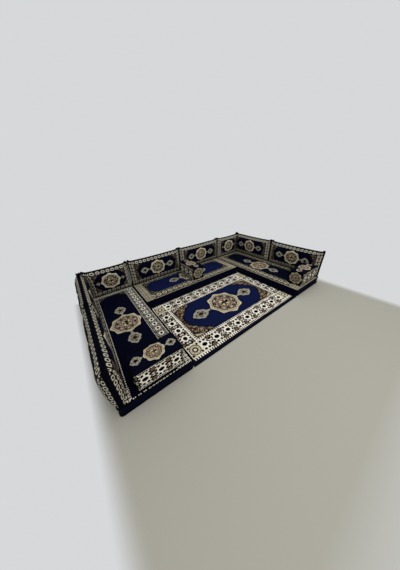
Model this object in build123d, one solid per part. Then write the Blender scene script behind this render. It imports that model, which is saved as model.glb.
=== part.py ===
from build123d import *
from math import atan, cos, sin
import os

# Majlis floor sofa set: three seat mattresses in a U, eight back cushions, three armrests, one rug
# Frame: origin under the middle of the set, +X along the back wall, +Y to the back wall, +Z up

# Seat mattresses, all alike, over their piping
seat_length = 1900.0
seat_width = 700.0
seat_band_top = 101.0
seat_crown = 10.0
seat_crown_margin = 80.0
seat_corner = 28.0
seat_side_draw = 3.0

# Back cushions that stand on the seats along the walls, over their piping
back_length_share = 0.495
corner_clearance = 4.0
back_height = 432.0
back_gusset = 26.0
back_crown = 52.0
back_crown_margin = 150.0
back_corner = 24.0
back_side_draw = 8.0

# Armrests that lie across the seats, over their piping
armrest_length = 460.0
armrest_width = 234.0
armrest_band_top = 212.0
armrest_crown = 10.0
armrest_crown_margin = 70.0
armrest_corner = 16.0
armrest_side_draw = 4.0

# Where the loose pieces lie
seat_gap = 0.1
cushion_gap = 1.5
rest_gap = 0.3
wall_gap = 2.0
side_overhang = 20.0
side_sink = 1.15
left_run_start = 44.0
right_run_start = 2.0
side_armrest_setback = 24.0
left_armrest_out = 170.0
middle_armrest_out = 152.0
middle_armrest_shift = 54.0
right_armrest_out = 112.0

# Cover cloth and its filling
cloth = 3.0
fill_clearance = 0.5
seam_gap = 0.3
piping_diameter = 11.0

# Zip in the wall side of each seat's band
zip_length = 1200.0
zip_slot = 14.0
zip_slot_clearance = 0.2
zip_tape = 1.2
chain_height = 5.0
chain_depth = 2.2
slider_length = 11.0
slider_wall = 1.2
slider_clearance = 0.3
slider_park = 6.0

# Rug inside the U
rug_gap = 0.6
rug_backing = 2.0
rug_pile = 7.0
rug_binding_width = 42.0
rug_binding_height = 5.0
rug_binding_edge = 2.0
rug_seam = 0.3

# Where a crown's sections lie, as shares of its margin, and how fast it flattens
crown_step_shares = (0, 0.2, 0.45, 0.7, 1)
crown_power = 2.5
corner_growth_share = 0.12
corner_limit_share = 0.4

overrun = 5.0

# What follows from those sizes
piping_radius = piping_diameter / 2
piping_reach = piping_diameter + seam_gap
back_thickness = back_gusset + 2 * back_crown
seat_top = seat_band_top + seat_crown
set_width = seat_length + 2 * (seat_width + seat_gap)
back_length = seat_length * back_length_share
wall_run_room = set_width / 2 + side_overhang - back_thickness - corner_clearance
corner_back_length = wall_run_room - back_length - cushion_gap - cushion_gap / 2
left_run_end = left_run_start + 2 * back_length + cushion_gap
set_depth = max(left_run_end, seat_length)
wall_x = set_width / 2
wall_y = set_depth / 2
seats_front_y = wall_y - seat_length

parts = {}


def drawn_in_face(length, width, long_draw, short_draw, corner, straight_rear=False):
    # A rectangle whose sides bow inwards between its rounded corners
    x, y = length / 2, width / 2
    front = ThreePointArc((-x, -y), (0, -y + long_draw), (x, -y))
    right = ThreePointArc((x, -y), (x - short_draw, 0), (x, y))
    rear = ThreePointArc((x, y), (0, y - long_draw), (-x, y))
    left = ThreePointArc((-x, y), (-x + short_draw, 0), (-x, -y))
    if straight_rear:
        rear = Line((x, y), (-x, y))
    face = make_face([front, right, rear, left])
    return fillet(face.vertices(), min(corner, corner_limit_share * width))


class Pad:
    # One pad: its plan, given over its piping, and its crown
    def __init__(self, length, width, draw, corner, crown, margin, straight_rear=False):
        lean = atan(4 * draw / length)
        self.mitre = 1 / (cos(lean) - sin(lean))
        self.length = length - 2 * piping_reach * self.mitre
        self.width = width - 2 * piping_reach * self.mitre
        self.long_draw = draw
        self.short_draw = draw * width / length
        self.corner, self.crown, self.margin = corner, crown, margin
        self.straight_rear = straight_rear

    def face(self, inset, step=0):
        # The plan at an even inset from the cloth's outside, and a step further in on the crown
        shift = inset * self.mitre + step
        extra_draw = inset * (self.mitre - 1)
        return drawn_in_face(
            self.length - 2 * shift,
            self.width - 2 * shift,
            self.long_draw * (1 - step / self.length) - extra_draw,
            self.short_draw * (1 - step / self.width) - extra_draw,
            self.corner - inset + step * corner_growth_share,
            self.straight_rear,
        )

    def slab(self, inset, low, high):
        return Pos(0, 0, low) * extrude(self.face(inset), high - low)

    def ring(self, outer, inner, low, high):
        return self.slab(outer, low, high) - self.slab(inner, low, high)

    def dome(self, inset, base, crown):
        # Sections that draw in as they rise, steeply at the seam and level at the crown
        sections = []
        for share in crown_step_shares:
            height = base + crown * (1 - (1 - share) ** crown_power)
            sections.append(Pos(0, 0, height) * self.face(inset, self.margin * share))
        return loft(sections)

    def panel(self, base):
        # A crowned cloth panel, open at its seam
        return self.dome(0, base, self.crown) - self.dome(cloth, base, self.crown - cloth)

    def piping(self, height):
        # One closed cord round the seam, just off the cloth
        wire = self.face(-piping_radius - seam_gap).wire()
        section = Plane(origin=wire @ 0, z_dir=wire % 0) * Circle(piping_radius)
        return Pos(0, 0, height) * sweep(section, path=wire)


def save(name, *shapes):
    # Every node is a group of separate solids
    solids = [solid for shape in shapes for solid in shape.solids()]
    parts[name] = solids[0] if len(solids) == 1 else Compound(children=solids)


def box_pad(pad, band_top):
    # A boxed pad that lies flat: crowned top, upright band, flat base, piping at both seams, foam
    foam_inset = cloth + fill_clearance
    top = pad.panel(band_top)
    band = pad.ring(0, cloth, cloth, band_top)
    base = pad.slab(0, 0, cloth)
    foam = pad.slab(foam_inset, foam_inset, band_top)
    foam += pad.dome(foam_inset, band_top, pad.crown - foam_inset)
    cords = (pad.piping(piping_radius), pad.piping(band_top))
    return {"top": top, "band": band, "base": base, "foam": foam, "cords": cords}


def back_pad(pad):
    # A back cushion built lying down about its middle: two crowned panels and a gusset
    half = back_gusset / 2
    fill_inset = cloth + fill_clearance
    front = pad.panel(half)
    rear = front.mirror(Plane.XY)
    gusset = pad.ring(0, cloth, -half, half)
    fill_dome = pad.dome(fill_inset, half, pad.crown - fill_inset)
    filling = pad.slab(fill_inset, -half, half) + fill_dome + fill_dome.mirror(Plane.XY)
    cords = (pad.piping(half), pad.piping(-half))
    return {"panels": (front, gusset, rear), "filling": filling, "cords": cords}


def seat_zip(pad):
    # Tape and chain in a slot of the band's rear side, and the slider at the closed end
    outer_y = pad.width / 2
    height = seat_band_top / 2
    slot = Pos(0, outer_y, height) * Box(zip_length, 4 * cloth, zip_slot)
    tape_y = outer_y - cloth / 2
    tape_size = (zip_length - 2 * zip_slot_clearance, zip_tape, zip_slot - 2 * zip_slot_clearance)
    tape = Pos(0, tape_y, height) * Box(*tape_size)
    chain_y = tape_y + zip_tape / 2 + chain_depth / 2
    chain = Pos(0, chain_y, height) * Box(tape_size[0], chain_depth, chain_height)
    low_y = chain_y - chain_depth / 2 + slider_clearance
    high_y = chain_y + chain_depth / 2 + slider_clearance + slider_wall
    channel = chain_height + 2 * slider_clearance
    shell = Box(slider_length, high_y - low_y, channel + 2 * slider_wall)
    shell = fillet(shell.edges().filter_by(Axis.Y), slider_wall)
    groove = Box(slider_length + overrun, high_y - low_y - slider_wall, channel)
    groove_shift = -slider_wall / 2
    slider = shell - Pos(0, groove_shift, 0) * groove
    slider_x = zip_length / 2 - slider_length / 2 - slider_park
    slider = Pos(slider_x, (low_y + high_y) / 2, height) * slider
    return slot, (tape, chain), slider


def build_seats():
    pad = Pad(seat_length, seat_width, seat_side_draw, seat_corner, seat_crown, seat_crown_margin, True)
    pieces = box_pad(pad, seat_band_top)
    slot, zip_pieces, slider = seat_zip(pad)
    band = pieces["band"] - slot
    side_x = seat_length / 2 + seat_gap + seat_width / 2
    side_y = wall_y - seat_length / 2
    places = {
        "left": Pos(-side_x, side_y, 0) * Rot(0, 0, 90),
        "middle": Pos(0, wall_y - seat_width / 2, 0),
        "right": Pos(side_x, side_y, 0) * Rot(0, 0, -90),
    }
    for side, place in places.items():
        name = f"seat_{side}_"
        save(name + "top_panel", place * pieces["top"])
        save(name + "side_band", place * band)
        save(name + "base_panel", place * pieces["base"])
        save(name + "foam", place * pieces["foam"])
        save(name + "piping", *[place * cord for cord in pieces["cords"]])
        save(name + "zip", *[place * piece for piece in zip_pieces])
        save(name + "zip_slider", place * slider)


def build_backs():
    def standing(length):
        pad = Pad(length, back_height, back_side_draw, back_corner, back_crown, back_crown_margin)
        return back_pad(pad)

    long_pieces = standing(back_length)
    short_pieces = standing(corner_back_length)
    lowest = long_pieces["cords"][0].bounding_box().min.Y
    short_lowest = short_pieces["cords"][0].bounding_box().min.Y
    stand = Pos(0, 0, seat_top + rest_gap - lowest) * Rot(90, 0, 0)
    short_stand = Pos(0, 0, seat_top + rest_gap - short_lowest) * Rot(90, 0, 0)
    rear_in = wall_gap + back_thickness / 2
    side_in = back_thickness / 2 - side_overhang
    step = back_length + cushion_gap

    def on_side(sign, start, index):
        y = wall_y - start - back_length / 2 - index * step
        return Pos(sign * (wall_x - side_in), y, -side_sink) * Rot(0, 0, -sign * 90) * stand

    def on_wall(x, upright):
        return Pos(x, wall_y - rear_in, 0) * upright

    long_x = step / 2
    corner_x = step + corner_back_length / 2 + cushion_gap / 2
    rows = {
        "left_front": (long_pieces, on_side(-1, left_run_start, 1)),
        "left_rear": (long_pieces, on_side(-1, left_run_start, 0)),
        "corner_left": (short_pieces, on_wall(-corner_x, short_stand)),
        "wall_left": (long_pieces, on_wall(-long_x, stand)),
        "wall_right": (long_pieces, on_wall(long_x, stand)),
        "corner_right": (short_pieces, on_wall(corner_x, short_stand)),
        "right_rear": (long_pieces, on_side(1, right_run_start, 0)),
        "right_front": (long_pieces, on_side(1, right_run_start, 1)),
    }
    for row, (pieces, place) in rows.items():
        name = f"back_{row}_"
        save(name + "cover", *[place * panel for panel in pieces["panels"]])
        save(name + "filling", place * pieces["filling"])
        save(name + "piping", *[place * cord for cord in pieces["cords"]])


def build_armrests():
    pad = Pad(
        armrest_length,
        armrest_width,
        armrest_side_draw,
        armrest_corner,
        armrest_crown,
        armrest_crown_margin,
    )
    pieces = box_pad(pad, armrest_band_top)
    lie = Pos(0, 0, seat_top + rest_gap)
    end_y = seats_front_y + side_armrest_setback + armrest_width / 2
    half = armrest_length / 2
    places = {
        "left": Pos(-wall_x + left_armrest_out + half, end_y, 0),
        "middle": Pos(middle_armrest_shift, wall_y - middle_armrest_out - half, 0) * Rot(0, 0, 90),
        "right": Pos(wall_x - right_armrest_out - half, end_y, 0),
    }
    for side, place in places.items():
        name = f"armrest_{side}_"
        at = place * lie
        save(name + "cover", at * pieces["top"], at * pieces["band"], at * pieces["base"])
        save(name + "foam", at * pieces["foam"])
        save(name + "piping", *[at * cord for cord in pieces["cords"]])


def build_rug():
    length = seat_length - 2 * rug_gap
    rear_y = wall_y - seat_width - rug_gap
    width = rear_y - seats_front_y
    lie = Pos(0, (rear_y + seats_front_y) / 2, 0)
    hem = 2 * rug_binding_width

    def sheet(size_x, size_y, low, high):
        return lie * Pos(0, 0, (low + high) / 2) * Box(size_x, size_y, high - low)

    binding_top = rug_backing + rug_binding_height
    binding = sheet(length, width, rug_backing, binding_top)
    rim = binding.edges().group_by(Axis.Z)[-1]
    binding = fillet(rim, rug_binding_edge)
    binding -= sheet(length - hem, width - hem, rug_backing, binding_top)
    pile_x = length - hem - 2 * rug_seam
    pile_y = width - hem - 2 * rug_seam
    save("rug_backing", sheet(length, width, 0, rug_backing))
    save("rug_pile", sheet(pile_x, pile_y, rug_backing, rug_backing + rug_pile))
    save("rug_binding", binding)


build_seats()
build_backs()
build_armrests()
build_rug()

os.makedirs("parts", exist_ok=True)
for node, shape in parts.items():
    export_step(shape, f"parts/{node}.step")
print(len(parts), "nodes, set", set_width, "x", set_depth, "mm")
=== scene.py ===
import math
import random
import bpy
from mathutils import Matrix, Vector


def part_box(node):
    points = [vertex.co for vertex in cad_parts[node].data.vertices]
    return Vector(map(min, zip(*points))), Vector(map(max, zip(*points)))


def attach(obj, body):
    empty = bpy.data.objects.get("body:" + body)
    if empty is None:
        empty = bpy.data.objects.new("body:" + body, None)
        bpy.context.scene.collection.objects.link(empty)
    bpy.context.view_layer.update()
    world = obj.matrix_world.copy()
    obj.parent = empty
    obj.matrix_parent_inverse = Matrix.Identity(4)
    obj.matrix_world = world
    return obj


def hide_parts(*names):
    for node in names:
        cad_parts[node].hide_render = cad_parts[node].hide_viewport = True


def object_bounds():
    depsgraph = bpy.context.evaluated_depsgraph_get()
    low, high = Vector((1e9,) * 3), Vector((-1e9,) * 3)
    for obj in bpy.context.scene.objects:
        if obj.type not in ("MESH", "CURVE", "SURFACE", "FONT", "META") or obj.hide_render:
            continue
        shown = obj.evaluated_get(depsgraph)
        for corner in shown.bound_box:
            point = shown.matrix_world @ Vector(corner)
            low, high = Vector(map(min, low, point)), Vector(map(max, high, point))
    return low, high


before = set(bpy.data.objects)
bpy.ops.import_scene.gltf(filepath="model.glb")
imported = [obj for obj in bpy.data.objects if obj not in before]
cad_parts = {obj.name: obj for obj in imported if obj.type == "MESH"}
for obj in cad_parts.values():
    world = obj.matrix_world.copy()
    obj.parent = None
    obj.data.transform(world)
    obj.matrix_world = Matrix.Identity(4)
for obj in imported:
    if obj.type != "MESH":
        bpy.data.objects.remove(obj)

from types import SimpleNamespace

import bpy
import numpy as np
from mathutils import Matrix, Vector

mm = 0.001
fullTurn = 2 * math.pi
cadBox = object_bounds()
scene = bpy.context.scene

# solved together with the sizes from the lines of the three seats and the rug
view = {
    "place": (-1.4790, -1.8428, 1.5315),
    "right": (0.80195, -0.59587, -0.04253),
    "up": (0.32867, 0.38064, 0.86434),
    "back": (-0.49885, -0.70714, 0.50110),
    "lens": 10.83,
    "sensor": 36.0,
    "clip": (0.01, 100),
}


def placeCamera():
    data = bpy.data.cameras.new("roomCamera")
    data.sensor_fit, data.sensor_width, data.lens = "AUTO", view["sensor"], view["lens"]
    data.clip_start, data.clip_end = view["clip"]
    camera = bpy.data.objects.new("roomCamera", data)
    scene.collection.objects.link(camera)
    axes = Matrix((view["right"], view["up"], view["back"])).transposed()
    camera.matrix_world = Matrix.Translation(view["place"]) @ axes.to_4x4()
    scene.camera = camera


placeCamera()
print("camera placed")


class Flow:
    # A number that runs through a node tree, so that a pattern reads as a formula
    def __init__(self, socket):
        self.socket, self.tree = socket, socket.id_data

    def do(self, operation, *others):
        inputs = dict(enumerate((self, *others)))
        return Flow(addNode(self.tree, "Math", inputs, operation=operation).outputs[0])

    def raised(self, power):
        return self.do("POWER", power)

    def wave(self, turns):
        return (self * turns).do("COSINE")

    def sway(self, turns):
        return (self * turns).do("SINE")

    def centred(self, pitch):
        # The distance from the middle of the nearest repeat
        return ((self / pitch + 0.5).do("FRACT") - 0.5) * pitch


signs = {  # the math node behind each sign of a formula
    "__add__": "ADD", "__sub__": "SUBTRACT", "__mul__": "MULTIPLY", "__truediv__": "DIVIDE",
    "__lt__": "LESS_THAN", "__gt__": "GREATER_THAN", "__or__": "MAXIMUM", "__abs__": "ABSOLUTE",
}
for sign, operation in signs.items():
    setattr(Flow, sign, lambda self, *others, operation=operation: self.do(operation, *others))


def feed(slot, value):
    # Links a value to a socket or sets it there; a word is the name of a dye
    if isinstance(value, Flow):
        value = value.socket
    if isinstance(value, bpy.types.NodeSocket):
        slot.id_data.links.new(value, slot)
    else:
        slot.default_value = dyes[value] if isinstance(value, str) else value


def addNode(tree, kind, inputs=(), **settings):
    # A shader node with its settings, and inputs by the name or number of their sockets
    node = tree.nodes.new("ShaderNode" + kind)
    for setting, value in settings.items():
        setattr(node, setting, value)
    for slot, value in dict(inputs).items():
        feed(node.inputs[slot], value)
    return node


def nodeGroup(**inputs):
    # Turns a function into a shader node group: its inputs with their first values here, its outputs by name
    def make(shape):
        tree = bpy.data.node_groups.new(shape.__name__, "ShaderNodeTree")

        def addSocket(label, way, coloured):
            kind = "NodeSocketColor" if coloured else "NodeSocketFloat"
            return tree.interface.new_socket(name=label, in_out=way, socket_type=kind)

        for label, value in inputs.items():
            addSocket(label, "INPUT", isinstance(value, tuple)).default_value = value
        entry = tree.nodes.new("NodeGroupInput")
        values = {label: Flow(entry.outputs[label]) for label in inputs}
        outputs = shape(SimpleNamespace(tree=tree, **values))
        for label in outputs:
            addSocket(label, "OUTPUT", label == "Colour")
        leave = tree.nodes.new("NodeGroupOutput")
        for label, value in outputs.items():
            feed(leave.inputs[label], value)
        return tree

    return make


def useGroup(group, look=(), **values):
    # Places a group; a look feeds the inputs whose names it has
    tree = next(value.tree for value in values.values() if isinstance(value, Flow))
    node = addNode(tree, "Group", values, node_tree=group)
    for label in look:
        if label in node.inputs:
            feed(node.inputs[label], look[label])
    return {socket.name: Flow(socket) for socket in node.outputs}


def paint(ground, *coats):
    # Lays colours over each other, each where its mask is 1
    for colour, mask in coats:
        mix = addNode(mask.tree, "Mix", {"Factor": mask, "A": ground, "B": colour}, data_type="RGBA")
        ground = mix.outputs["Result"]
    return ground


def noise(place, scale, detail=2.0):
    node = addNode(place.id_data, "TexNoise", {"Vector": place, "Scale": scale, "Detail": detail})
    return Flow(node.outputs["Fac"])


def brighten(colour, amount):
    return addNode(amount.tree, "VectorMath", {0: colour, "Scale": amount}, operation="SCALE").outputs[0]


def piecePlace(tree):
    return addNode(tree, "TexCoord").outputs["Object"]


def split(place):
    return [Flow(part) for part in addNode(place.id_data, "SeparateXYZ", {0: place}).outputs]


def flatPlace(tree):
    # Where a point of the cloth is on its flat cut, in centimetres from the middle
    parts = split(addNode(tree, "UVMap", uv_map="patternUv").outputs["UV"])
    return [part * 100 for part in parts[:2]]


def reachOf(p, q):
    return (p * p + q * q).do("SQRT")


def angleOf(p, q):
    return q.do("ARCTAN2", p)


def near(value, middle, half):
    return abs(value - middle) < half


def teeth(along, pitch, share=0.5):
    return (along / pitch).do("FRACT") < share


# the groups that the cloths share; distances inside a figure are shares of its own size
flat = {"Along": 0.0, "Across": 0.0}
plain = {"Colour": (0.5, 0.5, 0.5, 1)}


@nodeGroup(**flat, Knot=0.4)
def knots(v):
    # Snaps a place to the knot it falls in, and gives each knot its own shade and height
    cells = [(place / v.Knot + 0.5).do("FLOOR") for place in (v.Along, v.Across)]
    ripple = [(place / v.Knot).wave(fullTurn) * 0.5 + 0.5 for place in (v.Along, v.Across)]
    knot = addNode(v.tree, "CombineXYZ", dict(enumerate(cells)))
    shade = addNode(v.tree, "TexWhiteNoise", {"Vector": knot.outputs[0]}, noise_dimensions="2D")
    return {
        "Along": cells[0] * v.Knot, "Across": cells[1] * v.Knot,
        "Shade": shade.outputs["Value"], "Relief": ripple[0] * ripple[1],
    }


@nodeGroup(**flat, HalfLength=70.0, HalfWidth=30.0, EndDepth=30.0, EndPower=2.0, Line=1.0, Step=2.0)
def fieldShape(v):
    # A long field with flat sides and curved, stepped ends
    share = (abs(v.Across) / v.Step).do("FLOOR") * v.Step / v.HalfWidth
    limit = v.HalfLength - v.EndDepth * share.do("MINIMUM", 1.0).raised(v.EndPower)
    inside = (abs(v.Along) < limit) * (share < 1.0)
    wide = (abs(v.Along) < limit + v.Line * 1.3) * (abs(v.Across) < v.HalfWidth + v.Line)
    return {"Inside": inside, "Outline": wide - inside}


@nodeGroup(**flat, RadiusAlong=10.0, RadiusAcross=10.0, Depth=0.1, Line=0.08)
def lobedMedallion(v):
    # A disc of eight pointed lobes with palmettes, specks and a heart inside it, drawn a little unevenly
    uneven, petalsAt, dotsAt = 0.26, 0.55, 0.15
    u, w = v.Along / v.RadiusAlong, v.Across / v.RadiusAcross
    angle = angleOf(u, w)
    valley = abs(angle.sway(4)) + abs(angle.sway(8)) * -0.08
    rho = reachOf(u, w) / (valley * v.Depth * -1 + 1)
    body = rho < 1.0
    place = addNode(v.tree, "CombineXYZ", {0: u, 1: w}).outputs[0]
    u = u + (noise(place, 2.6, 1.0) - 0.5) * uneven
    w = w + (noise(place, 3.1, 1.0) - 0.5) * uneven
    reach, angle = reachOf(u, w), angleOf(u, w)
    petal = angle.wave(8)
    size = (petal + 0.30) * 0.13
    fine = rho + petal * 0.03
    between = near(reach, 0.58, 0.095) * (petal < -0.5)
    inner = near(reach, 0.37, 0.045) * (angle.wave(16) > -0.1)
    cross = abs(angle.wave(2)) * 0.21 + 0.06
    around = near(reach, 0.71, 0.026) * (angle.wave(24) > 0.2)
    return {
        "Body": body,
        "Outline": (rho < v.Line + 1) - body,
        "RimLine": near(fine, 0.88, 0.024) | near(fine, 0.76, 0.032),
        "Ring": rho < 0.74,
        "Petals": near(reach, petalsAt, size),
        "PetalLine": near(reach, petalsAt, size + 0.045) * (petal > -0.7),
        "PetalHeart": near(reach, petalsAt + 0.01, (petal - 0.55) * 0.12),
        "Specks": between | inner,
        "Rosette": reach < petal * 0.03 + 0.29,
        "Heart": (reach < cross) | near(reach, 0.24, 0.025) * (petal < 0.2),
        "Dots": (reachOf(abs(u) - dotsAt, w) < 0.085) | around,
    }


@nodeGroup(**flat, Size=6.0)
def leafScroll(v):
    # Curled leaves with dark veins and pale flecks, for the grounds outside a field
    a, c = v.Along / v.Size, v.Across / v.Size
    bend = c + a.wave(2.9) * 0.55 + (a + c).wave(5.3) * 0.18
    turn = a + c.wave(3.3) * 0.50 + (a - c).wave(4.7) * 0.20
    curl = bend.sway(5.6) * turn.sway(5.0)
    return {
        "Leaves": curl > 0.08,
        "Veins": near(curl, 0.08, 0.09) | near(curl, -0.5, 0.05),
        "Flecks": (curl > 0.80) | (curl < -0.90),
    }


@nodeGroup(**flat, Centre=20.0, HalfLength=5.0, HalfWidth=4.0, NeckStart=9.0, NeckWidth=0.8, Line=0.6)
def pendants(v):
    # The two finials on thin, flared necks at the ends of a medallion
    squareness = 1.45
    along, across = abs(v.Along), abs(v.Across)
    p, q = (along - v.Centre) / v.HalfLength, across / v.HalfWidth
    angle = angleOf(p, q)
    reach = (abs(p).raised(squareness) + q.raised(squareness)).raised(1 / squareness)
    reach = reach / (abs(angle.wave(4)) * 0.10 + 0.92)
    middle = (v.NeckStart + v.Centre - v.HalfLength) * 0.5
    flare = ((along - middle) / (v.Centre - v.HalfLength * 0.55 - middle)).raised(2.0)
    neckWidth = v.NeckWidth * (flare * 1.6 + 1)
    onNeck = (along > v.NeckStart) * (along < v.Centre)
    body = (reach < 1.0) | onNeck * (across < neckWidth)
    wide = (reach < v.Line / v.HalfWidth + 1) | onNeck * (across < neckWidth + v.Line)
    return {
        "Body": body,
        "Outline": wide - body,
        "Inner": reach < 0.72,
        "Core": reach < 0.36,
        "Specks": near(reach, 0.58, 0.09) * (angle.wave(5) > 0.3) | (reach < 0.14),
    }


@nodeGroup(**flat, Pitch=17.8, Size=4.7, BlockAt=6.8, BlockLong=1.9, BlockWide=1.7, Dots=2.4, Bold=1.0)
def flowerBand(v):
    # Dark hearts in white rings, with drops round them and dotted double crosses and blocks between them
    cell = v.Along.centred(v.Pitch)
    p, q = cell / v.Size, v.Across / v.Size
    reach, angle = reachOf(p, q), angleOf(p, q)
    gap = v.Pitch * 0.5 - abs(cell)
    pair = abs(abs(gap - abs(v.Across) * 0.72) / v.Size - 0.31)
    block = (gap / v.BlockLong) | abs((abs(v.Across) - v.BlockAt) / v.BlockWide)
    lattice = (v.Along / v.Dots).wave(fullTurn) * (v.Across / v.Dots).wave(fullTurn)
    return {
        "Heart": (p / 0.68).raised(2.0) + (q / 0.54).raised(2.0) < 1.0,
        "Petals": reach < abs(angle.wave(4)) * 0.10 + 0.98,
        "Drops": near(reach, 1.28, v.Bold * 0.22) * (angle.wave(8) < 0.3),
        "Cross": (pair < v.Bold * 0.23) * (q.wave(9.0) > -0.35) * (reach > 1.2),
        "Blocks": block < 1.0,
        "BlockLine": (block < 1.5) * (block > 1.0) | (block < 0.3),
        "Dots": (lattice > 0.55) * (reach > 1.45),
    }


@nodeGroup(**flat, PitchAlong=5.0, PitchAcross=5.0)
def blockRows(v):
    # Rows of small square blocks, each with a dark dot and a pale ring
    a = v.Along.centred(v.PitchAlong) / v.PitchAlong
    c = v.Across.centred(v.PitchAcross) / v.PitchAcross
    reach = (a * a + c * c * 0.85).do("SQRT")
    return {
        "Lines": (abs(a) > 0.41) | (abs(c) > 0.43),
        "Ring": reach < 0.36,
        "Dot": reach < 0.19,
        "Specks": near(abs(a), 0.33, 0.05) * near(abs(c), 0.33, 0.07),
    }


@nodeGroup(**plain, Shade=0.5, Relief=0.5, Contrast=0.12, Roughness=0.85)
def pileFinish(v):
    # Fades, dirties and roughens a pile cloth, and gives the height of its tufts
    place = piecePlace(v.tree)
    broad, tuft, streak = noise(place, 3.2, 3.0), noise(place, 420.0), noise(place, 45.0, 3.0)
    fade = (broad - 0.5) * 0.30 + (tuft - 0.5) * 0.35 + (streak - 0.5) * 0.18
    return {
        "Colour": brighten(v.Colour, (v.Shade - 0.5) * v.Contrast + fade + 1),
        "Roughness": v.Roughness + (broad - 0.5) * 0.2 + (streak - 0.5) * 0.1,
        "Height": v.Relief * 0.6 + tuft * 0.7 + streak * 0.5,
    }


@nodeGroup(**plain, **flat, Thread=0.12, Contrast=0.25)
def plainWeave(v):
    # Two crossing sets of threads; the colour is lighter where the threads rise, a painted highlight, and varies
    # at random with slubs and broad patches
    place = piecePlace(v.tree)
    slub, broad = noise(place, 60.0, 3.0), noise(place, 4.0)
    crossing = (v.Along / v.Thread).wave(fullTurn) * (v.Across / v.Thread).wave(fullTurn)
    height = crossing * 0.25 + 0.5 + (slub - 0.5) * 0.8
    # painted highlight where the threads rise, plus random slub and broad tone
    bright = (height - 0.5) * v.Contrast + (broad - 0.5) * 0.35 + 1
    return {"Colour": brighten(v.Colour, bright), "Height": height}


print("node groups built")


def tone(red, green, blue):
    # A screen colour from 0 to 255, as Blender's linear light
    def light(c):
        c /= 255
        return c / 12.92 if c <= 0.04045 else ((c + 0.055) / 1.055) ** 2.4

    return (light(red), light(green), light(blue), 1)


dyes = {name: tone(*colour) for name, colour in {
    "royal": (15, 23, 60),
    "navy": (5, 7, 26),
    "ink": (2, 2, 3),
    "cream": (204, 194, 166),
    "white": (238, 233, 216),
    "grey": (154, 152, 140),
    "ash": (104, 99, 90),
    "tan": (122, 96, 74),
    "brown": (66, 46, 36),
    "lilac": (120, 112, 112),
    "gold": (178, 160, 122),
    "rose": (104, 84, 72),
    "umber": (40, 31, 25),
    "stone": (108, 106, 97),
    "linen": (194, 188, 170),
    "sand": (190, 182, 158),
}.items()}


def startCloth(name, roughness=0.95, sheen=0.0):
    material = bpy.data.materials.new(name)
    material.use_nodes = True
    shader = material.node_tree.nodes["Principled BSDF"]
    values = {"Roughness": roughness, "Specular IOR Level": 0.03, "Sheen Weight": sheen, "Sheen Roughness": 0.5}
    for socket, value in values.items():
        feed(shader.inputs[socket], value)
    return material, material.node_tree, shader


def raiseSurface(shader, height, distance, strength=0.6):
    bump = addNode(height.tree, "Bump", {"Distance": distance, "Strength": strength, "Height": height})
    feed(shader.inputs["Normal"], bump.outputs["Normal"])


def pileCloth(name, look, pattern):
    # A carpet pile: the pattern gives a colour for each knot, in centimetres on the flat cut
    material, tree, shader = startCloth(name)
    along, across = flatPlace(tree)
    if "lean" in look:  # a cover drawn backwards towards one end
        start, run, inner = look["leanFrom"]
        end = ((along * -1 + start) / run).do("MAXIMUM", 0.0)
        across = across - (across - inner).do("MAXIMUM", 0.0) * end * look["lean"]
    k = useGroup(knots, Along=along - look.get("shift", 0.0), Across=across, Knot=look["knot"])
    colour = pattern(look, k["Along"], k["Across"] - look.get("lift", 0.0), k["Shade"])
    done = useGroup(pileFinish, Colour=colour, Shade=k["Shade"], Relief=k["Relief"], Contrast=0.3)
    feed(shader.inputs["Base Color"], done["Colour"])
    feed(shader.inputs["Roughness"], done["Roughness"])
    raiseSurface(shader, done["Height"], 1.6 * mm)
    return material


def layScroll(look, along, across):
    s = useGroup(leafScroll, look, Along=along, Across=across)
    return paint(look["ground"], (look["leaf"], s["Leaves"]), (look["fleck"], s["Flecks"]), ("ink", s["Veins"]))


def layField(colour, look, along, across):
    f = useGroup(fieldShape, look, Along=along, Across=across)
    return paint(colour, ("ink", f["Outline"]), (look["dye"], f["Inside"]))


def layPendants(colour, look, along, across, grain):
    p = useGroup(pendants, look, Along=along, Across=across)
    inside = paint(
        "grey", (look["inner"], p["Inner"]), ("cream", p["Inner"] * (grain > 0.72)),
        (look["core"], p["Core"]), ("ink", p["Specks"]),
    )
    return paint(colour, ("ink", p["Outline"]), (inside, p["Body"]))


def layMedallion(colour, look, along, across, grain):
    m = useGroup(lobedMedallion, look, Along=along, Across=across)
    inside = paint(
        look["rim"], (look["ring"], m["Ring"]), (look["specks"], m["Ring"] * (grain > look["plain"])),
        (look["rimLine"], m["RimLine"]), (look["heart"], m["PetalLine"]), (look["petals"], m["Petals"]),
        (look["rosette"], m["PetalHeart"]), (look["specks"], m["Specks"]), (look["rosette"], m["Rosette"]),
        (look["heart"], m["Heart"]), ("ink", m["Dots"]),
    )
    return paint(colour, ("ink", m["Outline"]), (inside, m["Body"]))


def layMiddle(look, along, across, grain, colour):
    # The field with its pendants and medallion, as far as a cloth has them
    if "field" in look:
        colour = layField(colour, look["field"], along, across)
    if "pendants" in look:
        colour = layPendants(colour, look["pendants"], along, across, grain)
    return layMedallion(colour, look["medallion"], along, across, grain)


def layFlowers(look, along, across):
    f = useGroup(flowerBand, look, Along=along, Across=across)
    return paint(
        look["ground"], ("ink", f["Dots"] | f["Cross"]), (look["blocks"], f["Blocks"]),
        ("ink", f["BlockLine"] | f["Drops"]), (look["petals"], f["Petals"]), ("ink", f["Heart"]),
    )


def layBlocks(along, across, pitch, ground, ring):
    b = useGroup(blockRows, Along=along, Across=across, PitchAlong=pitch[0], PitchAcross=pitch[1])
    return paint(ground, (ring, b["Ring"]), ("ink", b["Lines"] | b["Dot"] | b["Specks"]))


creamMedallion = {"Depth": 0.12, "Line": 0.09, "rim": "cream", "ring": "gold", "rosette": "cream"}
largeMedallion = {
    **creamMedallion, "Depth": 0.13, "Line": 0.06,
    "rimLine": "tan", "petals": "lilac", "specks": "brown", "heart": "brown",
}

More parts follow.
